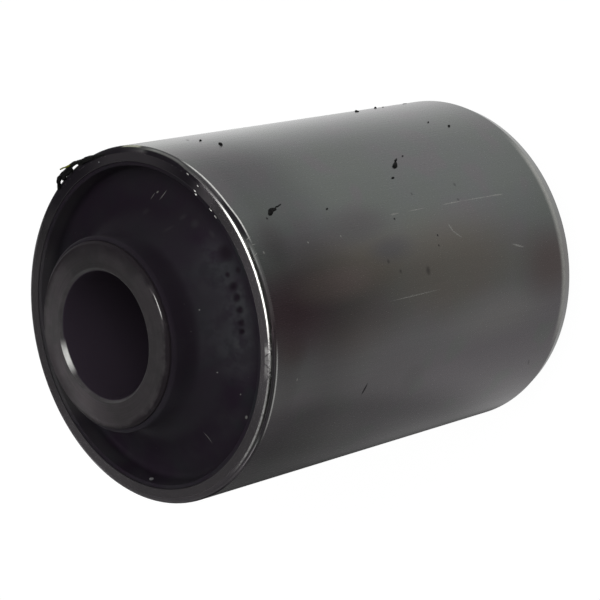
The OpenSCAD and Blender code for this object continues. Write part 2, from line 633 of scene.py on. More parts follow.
        # Painted highlight: a pale line on the rim's outer edge.
        edge_highlight = paint.product(paint.band(lean, -0.04, 0.06, 0.6, 0.75),
                               paint.stretch(-16.5, -8.5, 1.2))
        paint.coat(edge_highlight, self.pale)
        scratched = paint.marks(side, self.scratches(), 0.5)
        paint.coat(paint.product(scratched, 0.65), self.bared_and_highlight)
        stained = paint.marks(side, self.stains(), 0.7)
        paint.coat(paint.product(stained, 0.45), self.grime_and_shade)
        speckled = paint.marks(side, self.specks(), 0.4)
        paint.coat(paint.product(speckled, 0.9), self.grime_and_shade)

        on_rim = paint.ease(paint.z, self.end - self.rim * 1.2, self.end - self.rim * 0.9)
        rough = paint.ease(fine_streaks, 0.3, 0.7, self.gloss - 0.01, self.gloss + 0.02)
        rough = paint.mix(on_rim, rough, self.rim_gloss)
        rough = paint.mix(paint.largest([scratched, speckled, film]), rough, 0.6)
        metal = paint.mix(paint.largest([film, inner, speckled, chipped, edge_highlight]), 1.0, 0.0)
        normal = paint.relief(fine_streaks, 0.0005)
        paint.set(Metallic=metal, Roughness=rough, Normal=normal, Specular_IOR_Level=0.04)
        return paint.material


@dataclass(frozen=True)
class BondedRubber:
    """Black moulded rubber with a grey bloom, dust and fine scuffs, and painted shade and light over its
    dish.
    """

    tone: Colour = (0.0128, 0.0084, 0.0146, 1.0)
    bloom: Colour = (0.0190, 0.0174, 0.0212, 1.0)
    # The next colour is partly mould powder and partly painted sheen round the dimples.
    talc_and_sheen_grey: Colour = (0.0310, 0.0318, 0.0352, 1.0)
    teal: Colour = (0.0125, 0.0165, 0.0172, 1.0)
    # The next colour is painted light on the lip, the neck and the lip's wall, and also real pale smudges.
    smear_and_painted_light: Colour = (0.0440, 0.0420, 0.0440, 1.0)
    # The next dark colour is painted shade in the dish's corners and over its +X side, and the dark of the
    # spots over the dimples.
    pit: Colour = (0.0068, 0.0042, 0.0074, 1.0)
    dust: Colour = (0.10, 0.10, 0.095, 1.0)
    scuff: Colour = (0.20, 0.20, 0.19, 1.0)
    gloss: float = 0.66
    sheen: float = 0.07

    def on_dish(self, angle: float, radius: float, long: float, wide: float, turn: float = 0.0) -> Mark:
        """Places a mark on the dish, seen down the axis.

        Args:
            angle: Degrees round the axis, from +X towards +Y.
            radius: Distance from the axis.
            long: Half its length.
            wide: Half its width.
            turn: Angle of its length from the round of the dish, in degrees.

        Returns:
            The mark.
        """
        way = math.radians(angle)
        return Mark(radius * math.cos(way), radius * math.sin(way), long, wide, angle + 90.0 + turn)

    def scuffs(self) -> list[Mark]:
        """Lists the light scuffs and specks on the dish."""
        rows = (
            (-19.4, 21.5, 0.22, 0.12, 40), (-23.2, 21.3, 0.8, 0.06, 62),
            (-17.2, 20.8, 0.5, 0.05, 62), (-87.8, 16.3, 0.09, 0.04), (-122.6, 17.5, 0.1, 0.07),
            (-130.5, 20.9, 0.11, 0.08), (-138.4, 23.1, 0.28, 0.2), (-161.5, 20.4, 0.85, 0.05, 80),
        )
        return [self.on_dish(*row) for row in rows]

    def blooms(self) -> list[Mark]:
        """Lists the pale patches round the dimples, which are partly mould powder and partly painted sheen.
        """
        rows = ((-90.0, 20.4, 4.2, 1.4), (-72.0, 19.6, 4.0, 2.4), (-104.0, 19.0, 6.0, 2.4))
        return [self.on_dish(*row) for row in rows]

    def lit_wall_stretches(self) -> list[tuple[float, float, float]]:
        """Lists the stretches of the lip's wall that are lightened as painted light, each with its start,
        its end and its share.
        """
        return [(10.0, 46.0, 0.32), (66.0, 84.0, 0.2), (98.0, 116.0, 0.9), (124.0, 144.0, 0.35)]

    def smudges(self) -> list[Mark]:
        """Lists the faint pale smudges on the upper part of the dish."""
        rows = (
            (-17.0, 18.5, 0.5, 0.4), (-39.3, 19.8, 0.5, 0.3, 50), (-37.4, 17.7, 0.55, 0.22, 60),
            (-46.7, 20.2, 0.6, 0.5), (-56.4, 21.1, 0.6, 0.3),
        )
        return [self.on_dish(*row) for row in rows]

    def pits(self) -> list[Mark]:
        """Lists the dark round spots on the dish, five of them over the dimples."""
        rows = (
            (-67.0, 21.3, 1.25, 1.0), (-76.0, 21.9, 0.45, 0.4), (-75.7, 20.1, 0.4, 0.3),
            (-81.5, 20.3, 0.62, 0.55), (-86.6, 20.3, 0.6, 0.5), (-92.2, 20.3, 0.55, 0.48),
            (-97.8, 20.2, 0.5, 0.42), (-101.8, 20.1, 0.45, 0.38),
        )
        return [self.on_dish(*row) for row in rows]

    def material(self) -> bpy.types.Material:
        """Mixes the finish.

        Returns:
            The rubber's material.
        """
        paint = Paint("bonded rubber", self.tone)
        clouds = paint.noise(paint.place, 0.11, 5.0, 4.0, 0.6)
        grain = paint.noise(paint.place, 3.0, 6.0, 3.0)
        pepper = paint.noise(paint.place, 1.1, 17.0, 2.0)
        dish = paint.combine(paint.x, paint.y, 0.0)
        on_top = paint.maths("GREATER_THAN", paint.z, 0.0)
        tinge = paint.noise(paint.place, 0.2, 23.0, 2.0)
        paint.coat(paint.ease(clouds, 0.4, 0.7), self.bloom)
        paint.coat(paint.ease(tinge, 0.5, 0.68, 0.0, 0.45), self.teal)
        # Pale patches round the dimples: partly mould powder, partly painted sheen.
        talc_and_sheen = paint.product(paint.marks(dish, self.blooms(), 0.9), on_top)
        mottle = paint.noise(paint.place, 0.5, 29.0, 2.0)
        talc_and_sheen = paint.product(talc_and_sheen, paint.ease(clouds, 0.3, 0.6, 0.4, 1.0),
                               paint.ease(mottle, 0.36, 0.6, 0.35, 1.25))
        paint.coat(talc_and_sheen, self.talc_and_sheen_grey)
        # Painted shade: darker near the rim except from 40 to 172 degrees, round the neck on the -Y side,
        # and over the +X part of the dish.
        away = paint.product(paint.ease(paint.radius, 21.5, 24.5, 0.0, 0.36),
                             paint.ease(paint.radius, 25.3, 24.9),
                             paint.outside(paint.stretch(40.0, 172.0, 10.0)))
        paint.coat(paint.ease(paint.radius, 19.5, 17.5, 0.0, 0.5), self.bloom)
        collar_shade = paint.product(paint.ease(paint.radius, 16.2, 15.8, 0.0, 0.6),
                               paint.stretch(-130.0, -30.0, 20.0))
        upper = paint.ease(paint.x, 8.0, 18.0, 0.0, 0.55)
        paint.coat(paint.largest([away, collar_shade, upper]), self.pit)
        # Painted light: stretches of the lip's wall, the lip and the neck on the +Y side are lightened.
        on_wall = paint.product(paint.band(paint.z, 33.9, 35.2, 36.7, 36.88),
                                paint.ease(paint.radius, 24.6, 25.0))
        for start, end, share in self.lit_wall_stretches():
            wall_light = paint.product(on_wall, paint.stretch(start, end, 8.0), share)
            paint.coat(wall_light, self.smear_and_painted_light)
        runs = ((50.0, 118.0, 8.0, 0.55), (68.0, 118.0, 6.0, 0.6), (94.0, 116.0, 6.0, 0.85))
        lip = paint.largest(paint.product(paint.stretch(*run), share) for *run, share in runs)
        lip = paint.product(paint.ease(paint.radius, 25.3, 25.7), lip)
        neck = paint.product(paint.ease(paint.radius, 18.5, 16.5), paint.stretch(40.0, 105.0, 10.0), 0.5)
        paint.coat(paint.maths("MAXIMUM", lip, neck), self.smear_and_painted_light)
        smudged = paint.product(paint.marks(dish, self.smudges(), 0.8), on_top, 0.22)
        paint.coat(smudged, self.smear_and_painted_light)
        # Dark round spots, five of them over the dimples.
        pitted = paint.product(paint.marks(dish, self.pits(), 0.7), on_top)
        paint.coat(pitted, self.pit)
        paint.coat(paint.ease(pepper, 0.735, 0.78, 0.0, 0.5), self.dust)
        scuffed = paint.product(paint.marks(dish, self.scuffs(), 0.5), on_top)
        paint.coat(paint.product(scuffed, 0.8), self.scuff)
        rough = paint.ease(clouds, 0.35, 0.7, self.gloss - 0.05, self.gloss + 0.06)
        normal = paint.relief(grain, 0.012)
        paint.set(Roughness=rough, Normal=normal, Specular_IOR_Level=self.sheen)
        return paint.material


@dataclass(frozen=True)
class TubeSteel:
    """Faced and drilled steel of the inner sleeve, with a rubber film toward its outer edge, painted light
    and shade across its face and painted glints.

    Attributes:
        radius: Outside radius of the inner sleeve.
        bore: Radius of its bore.
        end: Height of its top end.
    """

    radius: float
    bore: float
    end: float
    tone: Colour = (0.105, 0.094, 0.100, 1.0)
    dull: Colour = (0.072, 0.068, 0.070, 1.0)
    # The next colour is painted highlight: the glints on the bore's chamfer and the outer edge.
    chip_and_highlight_white: Colour = (0.62, 0.62, 0.60, 1.0)
    film: Colour = (0.0125, 0.0100, 0.0120, 1.0)
    soot: Colour = (0.0280, 0.0215, 0.0300, 1.0)
    burnt: Colour = (0.045, 0.043, 0.044, 1.0)

    def material(self) -> bpy.types.Material:
        """Mixes the finish.

        Returns:
            The inner sleeve's material.
        """
        paint = Paint("tube steel", self.tone)
        clouds = paint.noise(paint.place, 0.16, 31.0, 4.0, 0.6)
        rings = paint.noise(paint.combine(paint.radius, paint.product(paint.angle, 0.15), 0.0),
                            5.0, 33.0, 2.0)
        chips = paint.noise(paint.place, 0.9, 35.0, 4.0, 0.65)
        paint.coat(paint.ease(clouds, 0.4, 0.65), self.dull)
        shade = paint.ease(rings, 0.3, 0.7, 0.9, 1.1)
        # Painted light and shade: the face is lighter towards +Y and from 100 to 150 degrees, and darker
        # towards -Y and towards +X.
        side_light_and_shade = paint.product(paint.ease(paint.y, 0.0, 9.0, 0.7, 1.22),
                              paint.ease(paint.x, 3.0, 13.0, 1.0, 0.66))
        shade = paint.product(shade, side_light_and_shade, paint.gain(paint.stretch(100.0, 150.0, 12.0), 0.18))
        paint.shade(shade)
        mouth = paint.product(paint.ease(paint.radius, self.bore + 0.75, self.bore + 0.5),
                              paint.ease(paint.maths("ABSOLUTE", paint.z), self.end - 0.75, self.end - 0.5))
        scorched = paint.product(mouth, paint.ease(chips, 0.35, 0.6, 0.95, 0.7))
        paint.coat(scorched, self.burnt)
        patches = paint.noise(paint.place, 0.5, 37.0, 2.0)
        torn = paint.product(paint.ease(patches, 0.3, 0.7, -0.45, 0.45),
                             paint.ease(paint.y, 4.0, -3.0, 0.3, 1.0))
        ragged = paint.maths("ADD", paint.radius, torn)
        ragged = paint.maths("ADD", ragged, paint.ease(paint.x, 5.0, 14.0, 0.0, 0.5))
        veil = paint.product(paint.ease(ragged, self.radius - 3.2, self.radius - 0.2), 0.9,
                             paint.stretch(-64.0, 34.0, 14.0))
        haze = paint.product(paint.ease(ragged, self.radius - 3.2, self.radius - 0.8), 0.75,
                             paint.stretch(84.0, 134.0, 14.0))
        filmed = paint.largest([paint.ease(ragged, self.radius - 1.3, self.radius - 0.1), veil, haze])
        paint.coat(filmed, self.film)
        inside = paint.ease(paint.radius, self.bore + 0.14, self.bore + 0.08)
        paint.coat(inside, self.soot)
        # Painted highlights: a glint on the bore's chamfer, then a bright line on the outer edge's chamfer.
        glint = paint.product(mouth, paint.stretch(91.0, 112.0, 8.0), paint.ease(chips, 0.35, 0.6, 0.8, 1.0))
        edge = paint.product(paint.ease(paint.radius, self.radius - 0.37, self.radius - 0.33),
                             paint.ease(paint.radius, self.radius - 0.26, self.radius - 0.3),
                             paint.stretch(-87.0, -73.0, 3.0), paint.ease(chips, 0.4, 0.5))
        painted_glints = paint.maths("MAXIMUM", glint, edge)
        paint.coat(painted_glints, self.chip_and_highlight_white)
        rough = paint.ease(clouds, 0.35, 0.7, 0.34, 0.46)
        rough = paint.mix(paint.maths("MAXIMUM", filmed, inside), rough, 0.62)
        normal = paint.relief(rings, 0.004)
        normal = paint.relief(chips, 0.015, normal)
        metal = paint.mix(paint.largest([filmed, inside, painted_glints, paint.product(mouth, 0.75)]), 1.0, 0.0)
        paint.set(Metallic=metal, Roughness=rough, Normal=normal, Specular_IOR_Level=0.08)
        return paint.material


@dataclass(frozen=True)
class PlainTrim:
    """Finish of a small stuck or torn piece, mottled over its own grain.

    Attributes:
        name: The material's name.
        tone: Main colour.
        fleck: Colour of the flecks.
        metallic: Whether it is metal, from 0 to 1.
        rough: Roughness.
        grain: Flecks for each millimetre.
    """

    name: str
    tone: Colour
    fleck: Colour
    metallic: float
    rough: float
    grain: float

    def material(self) -> bpy.types.Material:
        """Mixes the finish.

        Returns:
            The trim's material.
        """
        paint = Paint(self.name, self.tone)
        flecks = paint.noise(paint.place, self.grain, 41.0, 3.0)
        paint.coat(paint.ease(flecks, 0.4, 0.62), self.fleck)
        rough = paint.ease(flecks, 0.3, 0.7, self.rough - 0.08, self.rough + 0.08)
        paint.set(Metallic=self.metallic, Roughness=rough, Specular_IOR_Level=0.1,
                  Normal=paint.relief(flecks, 0.04))
        return paint.material


CRUMB_RUBBER = PlainTrim("crumb rubber", (0.002, 0.002, 0.002, 1.0), (0.006, 0.006, 0.006, 1.0),
                         0.0, 0.7, 4.0)
LINT = PlainTrim("lint", (0.16, 0.165, 0.015, 1.0), (0.10, 0.105, 0.01, 1.0), 0.0, 0.8, 6.0)
BURR_STEEL = PlainTrim("burr steel", (0.62, 0.62, 0.6, 1.0), (0.4, 0.4, 0.38, 1.0), 1.0, 0.35, 5.0)
DUST = PlainTrim("dust", (0.15, 0.15, 0.155, 1.0), (0.10, 0.10, 0.105, 1.0), 0.0, 0.85, 5.0)


# Sections and geometry trees


@dataclass(frozen=True)
class Corner:
    """A corner of a turned section.

    Attributes:
        radius: Distance from the axis.
        height: Height along the axis.
        round: Radius of the arc that rounds the corner.
        step: Longest stretch between points on the run after this corner.
    """

    radius: float
    height: float
    round: float = 0.0
    step: float = 12.0


@dataclass(frozen=True)
class Section:
    """A closed turned section, with its corners counter-clockwise as seen with the axis on the left."""

    corners: tuple[Corner, ...]
    arc_turn: float = math.radians(9.0)
    guard: float = 0.12

    def arc(self, before: Corner, corner: Corner, after: Corner) -> list[Vector]:
        """Rounds one corner.

        Args:
            before: The corner before it.
            corner: The corner to round.
            after: The corner after it.

        Returns:
            The points of the arc, or the corner alone.
        """
        here = Vector((corner.radius, corner.height))
        if corner.round <= 0.0:
            return [here]
        back = (Vector((before.radius, before.height)) - here).normalized()
        ahead = (Vector((after.radius, after.height)) - here).normalized()
        half = back.angle(ahead) / 2
        centre = here + (back + ahead).normalized() * (corner.round / math.sin(half))
        start = here + back * (corner.round / math.tan(half)) - centre
        end = here + ahead * (corner.round / math.tan(half)) - centre
        sweep = start.angle_signed(end)
        count = max(2, math.ceil(abs(sweep) / self.arc_turn),
                    math.ceil(abs(sweep) * corner.round / corner.step))
        points = []
        for index in range(count + 1):
            turn = -sweep * index / count
            spoke = Vector((start.x * math.cos(turn) - start.y * math.sin(turn),
                            start.x * math.sin(turn) + start.y * math.cos(turn)))
            points.append(centre + spoke)
        return points

    def points(self) -> list[Vector]:
        """Lays out the section's points, closer beside its arcs so that flat runs shade flat.

        Returns:
            The points in order, as radius and height.
        """
        count = len(self.corners)
        arcs = []
        for index, corner in enumerate(self.corners):
            arcs.append(self.arc(self.corners[index - 1], corner, self.corners[(index + 1) % count]))
        points = []
        for index, arc in enumerate(arcs):
            points += arc
            start = arc[-1]
            run = arcs[(index + 1) % count][0] - start
            reach = run.length
            if reach < 3 * self.guard:
                continue
            inner = reach - 2 * self.guard
            pieces = max(1, math.ceil(inner / self.corners[index].step))
            for piece in range(pieces + 1):
                points.append(start + run * ((self.guard + inner * piece / pieces) / reach))
        return points

    def path(self, name: str) -> bpy.types.Mesh:
        """Returns the section as a path in the XZ plane."""
        return mesh_of_paths(name, [[Vector((point.x, 0.0, point.y)) for point in self.points()]])


def mesh_of_paths(name: str, paths: Iterable[list[Vector]]) -> bpy.types.Mesh:
    """Makes a mesh of paths. A path of one point stays a bare point.

    Args:
        name: The mesh's name.
        paths: Each path's places in order, in millimetres.

    Returns:
        The mesh, in metres.
    """
    places = []
    edges = []
    for path in paths:
        first = len(places)
        places += [point * MM for point in path]
        edges += [(index, index + 1) for index in range(first, len(places) - 1)]
    mesh = bpy.data.meshes.new(name)
    mesh.from_pydata(places, edges, [])
    return mesh


class GeometryTree(NodeBench):
    """A Geometry Nodes tree with named inputs, grown into plain meshes."""

    def __init__(self, name: str, inputs: dict[str, str]) -> None:
        """Starts a tree.

        Args:
            name: The tree's name.
            inputs: Socket type by input name, after the geometry input.
        """
        super().__init__(bpy.data.node_groups.new(name, "GeometryNodeTree"))
        face = self.tree.interface
        face.new_socket("Geometry", in_out="INPUT", socket_type="NodeSocketGeometry")
        for label, kind in inputs.items():
            face.new_socket(label, in_out="INPUT", socket_type="NodeSocket" + kind)
        face.new_socket("Geometry", in_out="OUTPUT", socket_type="NodeSocketGeometry")
        self.given = self.add("NodeGroupInput").outputs

    def spoke(self, reach: Feed, angle: Feed, height: Feed) -> Socket:
        """Returns a place by its distance from the axis, its angle in radians and its height."""
        across = self.product(reach, self.maths("COSINE", angle))
        return self.combine(across, self.product(reach, self.maths("SINE", angle)), height)

    def moved(self, geometry: Socket, offset: Socket) -> Socket:
        """Returns geometry with its points moved by an offset."""
        return self.add("GeometryNodeSetPosition", {"Geometry": geometry, "Offset": offset}).outputs[0]

    def roughened(self, geometry: Socket, push: Socket, scale: Socket) -> Socket:
        """Pushes a surface about by noise, with the tree's own seed.

        Args:
            geometry: The surface.
            push: How far it is pushed, in metres.
            scale: Lumps for each metre.

        Returns:
            The rough surface.
        """
        position = self.add("GeometryNodeInputPosition").outputs[0]
        feeds = {"Vector": position, "W": self.given["Seed"], "Scale": scale}
        lumps = self.add("ShaderNodeTexNoise", feeds, noise_dimensions="4D").outputs[1]
        return self.moved(geometry, self.scaled(self.vectors("SUBTRACT", lumps, (0.5, 0.5, 0.5)), push))

    def close(self, geometry: Socket) -> "GeometryTree":
        """Ends the tree with real geometry, smooth shading and the material.

        Args:
            geometry: What the tree has made.

        Returns:
            The tree itself.
        """
        real = self.add("GeometryNodeRealizeInstances", {0: geometry}).outputs[0]
        smooth = self.add("GeometryNodeSetShadeSmooth", {"Geometry": real}).outputs[0]
        feeds = {"Geometry": smooth, "Material": self.given["Material"]}
        dressed = self.add("GeometryNodeSetMaterial", feeds).outputs[0]
        self.add("NodeGroupOutput", {0: dressed})
        return self

    def grow(self, name: str, mesh: bpy.types.Mesh, values: dict[str, object]) -> Piece:
        """Runs the tree on a mesh and keeps the result as a plain mesh object.

        Args:
            name: The piece's name.
            mesh: The geometry that the tree starts from.
            values: Its inputs by name.

        Returns:
            The finished object, at the origin, with no modifier left.
        """
        piece = bpy.data.objects.new(name, mesh)
        bpy.context.scene.collection.objects.link(piece)
        modifier = piece.modifiers.new(self.tree.name, "NODES")
        modifier.node_group = self.tree
        items = self.tree.interface.items_tree
        sockets = {item.name: item.identifier for item in items if item.in_out == "INPUT"}
        for label, value in values.items():
            modifier[sockets[label]] = value
        evaluated = piece.evaluated_get(bpy.context.evaluated_depsgraph_get())
        grown = bpy.data.meshes.new_from_object(evaluated)
        piece.modifiers.remove(modifier)
        piece.data = grown
        grown.name = name
        close_and_face_out(grown)
        return piece


def close_and_face_out(mesh: bpy.types.Mesh) -> None:
    """Merges doubled points and turns every face outwards.

    Args:
        mesh: The mesh to put right.
    """
    work = bmesh.new()
    work.from_mesh(mesh)
    bmesh.ops.remove_doubles(work, verts=work.verts, dist=MERGE)
    bmesh.ops.recalc_face_normals(work, faces=work.faces)
    work.to_mesh(mesh)
    work.free()


def turned_ring_tree() -> GeometryTree:
    """Builds the tree that turns a section round the axis, with wavy wear and a row of round dimples.

    Returns:
        The tree. Its geometry input is the section's path, in the XZ plane.
    """
    tree = GeometryTree("Turned ring", {
        "Segments": "Int", "Wave depth": "Float", "Wave scale": "Float", "Wave draw": "Float",
        "Seed": "Float", "Dimples": "Int", "Dimple start": "Float", "Dimple pitch": "Float",
        "Dimple reach": "Float", "Dimple height": "Float", "Dimple width": "Float",
        "Dimple depth": "Float", "Material": "Material"})
    given = tree.given
    rows = tree.add("GeometryNodeAttributeDomainSize", {0: given["Geometry"]}).outputs["Point Count"]
    columns = tree.maths("ADD", given["Segments"], 1)
    stride = tree.maths("ADD", rows, 1)
    sheet = tree.add("GeometryNodeMeshGrid", {"Vertices X": columns, "Vertices Y": stride}).outputs["Mesh"]
    index = tree.add("GeometryNodeInputIndex").outputs[0]
    column = tree.maths("FLOOR", tree.maths("DIVIDE", tree.maths("ADD", index, 0.5), stride))
    row = tree.maths("SUBTRACT", index, tree.product(column, stride))
    point = tree.maths("FLOOR", tree.maths("MODULO", tree.maths("ADD", row, 0.25), rows))
    position = tree.add("GeometryNodeInputPosition").outputs[0]
    feeds = {"Geometry": given["Geometry"], "Index": point, "Value": position}
    corner = tree.add("GeometryNodeSampleIndex", feeds, data_type="FLOAT_VECTOR", domain="POINT").outputs[0]
    reach, _, height = tree.add("ShaderNodeSeparateXYZ", {0: corner}).outputs
    angle = tree.product(tree.maths("DIVIDE", column, given["Segments"]), math.tau)
    feeds = {"Geometry": sheet, "Position": tree.spoke(reach, angle, height)}
    ring = tree.add("GeometryNodeSetPosition", feeds).outputs[0]
    ring = tree.add("GeometryNodeMergeByDistance", {"Geometry": ring, "Distance": MERGE}).outputs[0]

    # Wear only takes material away, so the waves go inwards from the true surface
    drawn = tree.vectors("MULTIPLY", position, tree.combine(1.0, 1.0, given["Wave draw"]))
    feeds = {"Vector": drawn, "W": given["Seed"], "Scale": given["Wave scale"]}
    wave = tree.add("ShaderNodeTexNoise", feeds, noise_dimensions="4D").outputs[0]
    sink = tree.product(wave, given["Wave depth"])

    spot = tree.add("GeometryNodeInputIndex").outputs[0]
    spot_angle = tree.maths("ADD", given["Dimple start"], tree.product(spot, given["Dimple pitch"]))
    spot_place = tree.spoke(given["Dimple reach"], spot_angle, given["Dimple height"])
    spots = tree.add("GeometryNodePoints", {"Count": given["Dimples"], "Position": spot_place}).outputs[0]
    nearest = tree.add("GeometryNodeProximity", {0: spots}, target_element="POINTS")
    dimple = tree.ease(nearest.outputs["Distance"], given["Dimple width"],
                       tree.product(given["Dimple width"], 0.35))
    has_dimples = tree.maths("GREATER_THAN", given["Dimples"], 0.5)
    pit = tree.product(dimple, given["Dimple depth"], has_dimples)
    inwards = tree.product(tree.maths("ADD", sink, pit), -1.0)
    normal = tree.add("GeometryNodeInputNormal").outputs[0]
    return tree.close(tree.moved(ring, tree.scaled(normal, inwards)))


def grains_tree() -> GeometryTree:
    """Builds the tree that puts a lumpy grain on each point, sized and turned by the point's own attributes.

    Returns:
        The tree.
    """
    tree = GeometryTree("Stuck grains", {
        "Detail": "Int", "Lump": "Float", "Lump scale": "Float", "Seed": "Float", "Material": "Material"})
    given = tree.given
    feeds = {"Radius": 1.0, "Subdivisions": given["Detail"]}
    grain = tree.add("GeometryNodeMeshIcoSphere", feeds).outputs[0]
    size = tree.add("GeometryNodeInputNamedAttribute", {"Name": "grain_size"}, data_type="FLOAT_VECTOR")
    turn = tree.add("GeometryNodeInputNamedAttribute", {"Name": "grain_turn"}, data_type="FLOAT_VECTOR")
    cloud = tree.add("GeometryNodeMeshToPoints", {0: given["Geometry"]}).outputs[0]
    feeds = {"Points": cloud, "Instance": grain, "Rotation": turn.outputs[0], "Scale": size.outputs[0]}
    placed = tree.add("GeometryNodeInstanceOnPoints", feeds).outputs[0]
    real = tree.add("GeometryNodeRealizeInstances", {0: placed}).outputs[0]
    return tree.close(tree.roughened(real, given["Lump"], given["Lump scale"]))


def strand_tree() -> GeometryTree:
    """Builds the tree that runs a ragged flat strand along a path.

    Returns:
        The tree. Its geometry input is the path.
    """
    tree = GeometryTree("Ragged strand", {
        "Width": "Float", "Thickness": "Float", "Step": "Float", "Ragged": "Float", "Grain": "Float",
        "Seed": "Float", "Material": "Material"})
    given = tree.given
    path = tree.add("GeometryNodeMeshToCurve", {0: given["Geometry"]}).outputs[0]
    path = tree.add("GeometryNodeCurveSplineType", {0: path}, spline_type="CATMULL_ROM").outputs[0]
    feeds = {"Curve": path, "Length": given["Step"]}
    path = tree.add("GeometryNodeResampleCurve", feeds, mode="LENGTH").outputs[0]
    feeds = {"Resolution": 12, "Radius": 0.5}
    rim = tree.add("GeometryNodeCurvePrimitiveCircle", feeds, mode="RADIUS").outputs[0]
    feeds = {"Geometry": rim, "Scale": tree.combine(given["Thickness"], given["Width"], 1.0)}
    profile = tree.add("GeometryNodeTransform", feeds).outputs[0]
    feeds = {"Curve": path, "Profile Curve": profile, "Fill Caps": True}
    strand = tree.add("GeometryNodeCurveToMesh", feeds).outputs[0]
    return tree.close(tree.roughened(strand, given["Ragged"], given["Grain"]))


@dataclass(frozen=True)
class Workshop:
    """The three geometry trees that the pieces are grown with."""

    ring: GeometryTree
    grains: GeometryTree
    strand: GeometryTree

    @classmethod
    def open(cls) -> "Workshop":
        """Builds the trees once."""
        return cls(turned_ring_tree(), grains_tree(), strand_tree())


def seat(piece: Piece, slot: Slot, *nodes: str) -> Piece:
    """Fixes a finished piece to the bush's body.

    Args:
        piece: The piece.
        slot: The record's slot that its finish belongs to; not used.
        nodes: The solids that it stands for.

    Returns:
        The piece.
    """
    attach(piece, BODY)
    if nodes:
        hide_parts(*nodes)
    LOG.info("%s: %d faces", piece.name, len(piece.data.polygons))
    return piece


def reach_of(node: str) -> tuple[float, float]:
    """Reads a turned solid off the frame.

    Args:
        node: The solid's name.

    Returns:
        Its outside radius and the height of its top end, in millimetres.
    """
    _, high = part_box(node)
    return high[0] / MM, high[2] / MM


# Sub-assemblies


@dataclass
class OuterSleeve:
    """The steel sleeve that is pressed into the spring eye."""

    radius: float
    end: float
    mouth: float
    rim: float = 1.0
    lead_in_depth: float = 0.75
    lead_in_length: float = 2.1
    edge: float = 0.2
    mouth_edge: float = 0.06
    segments: int = 384

    @classmethod
    def from_frame(cls) -> "OuterSleeve":
        """Reads the sleeve's sizes off the frame."""
        radius, end = reach_of("outer_sleeve")
        mouth, _ = reach_of("rubber_element")
        return cls(radius, end, mouth)

    def section(self) -> Section:
        """Lays out the sleeve's section."""
        return Section((
            Corner(self.mouth, -self.end, self.edge),
            Corner(self.radius - self.lead_in_depth, -self.end, self.edge),
            Corner(self.radius, -self.end + self.lead_in_length, self.edge * 2, 1.5),
            Corner(self.radius, self.end, self.rim),
            Corner(self.mouth, self.end, self.mouth_edge),
        ))

    def build(self, workshop: Workshop) -> Piece:
        """Turns and dresses the sleeve.

        Args:
            workshop: The geometry trees.

        Returns:
            The finished piece.
        """
        path = self.section().path("sleeve section")
        piece = workshop.ring.grow("outer_sleeve_steel", path, {
            "Segments": self.segments, "Wave depth": 0.012 * MM, "Wave scale": 240.0, "Wave draw": 0.08,
            "Seed": 2.0, "Material": SleeveSteel(self.radius, self.end, self.mouth, self.rim).material()})
        return seat(piece, Slot.SLEEVE, "outer_sleeve")


@dataclass
class InnerSleeve:
    """The thick steel tube that the bolt clamps."""

    radius: float
    end: float
    bore: float
    bore_chamfer: float = 0.5
    edge_break: float = 0.4
    edge: float = 0.12
    segments: int = 288

    @classmethod
    def from_frame(cls) -> "InnerSleeve":
        """Reads the tube's sizes off the frame and its bore off the record."""
        radius, end = reach_of("inner_sleeve")
        mounts = {mount["name"]: mount for mount in frame["record"]["mounts"]}
        return cls(radius, end, mounts["bolt_bore"]["dims"]["r_mm"])

    def section(self) -> Section:
        """Lays out the tube's section."""
        return Section((
            Corner(self.bore, -self.end + self.bore_chamfer, self.edge),
            Corner(self.bore + self.bore_chamfer, -self.end, self.edge),
            Corner(self.radius - self.edge_break, -self.end, self.edge),
            Corner(self.radius, -self.end + self.edge_break, self.edge),
            Corner(self.radius, self.end - self.edge_break, self.edge),
            Corner(self.radius - self.edge_break, self.end, self.edge * 2),
            Corner(self.bore + self.bore_chamfer, self.end, self.edge),
            Corner(self.bore, self.end - self.bore_chamfer, self.edge),
        ))

    def build(self, workshop: Workshop) -> Piece:
        """Turns and dresses the tube.

        Args:
            workshop: The geometry trees.

        Returns:
            The finished piece.
        """
        path = self.section().path("tube section")
        piece = workshop.ring.grow("inner_sleeve_steel", path, {
            "Segments": self.segments, "Wave depth": 0.03 * MM, "Wave scale": 500.0, "Wave draw": 1.0,
            "Seed": 5.0, "Material": TubeSteel(self.radius, self.bore, self.end).material()})
        return seat(piece, Slot.TUBE, "inner_sleeve")


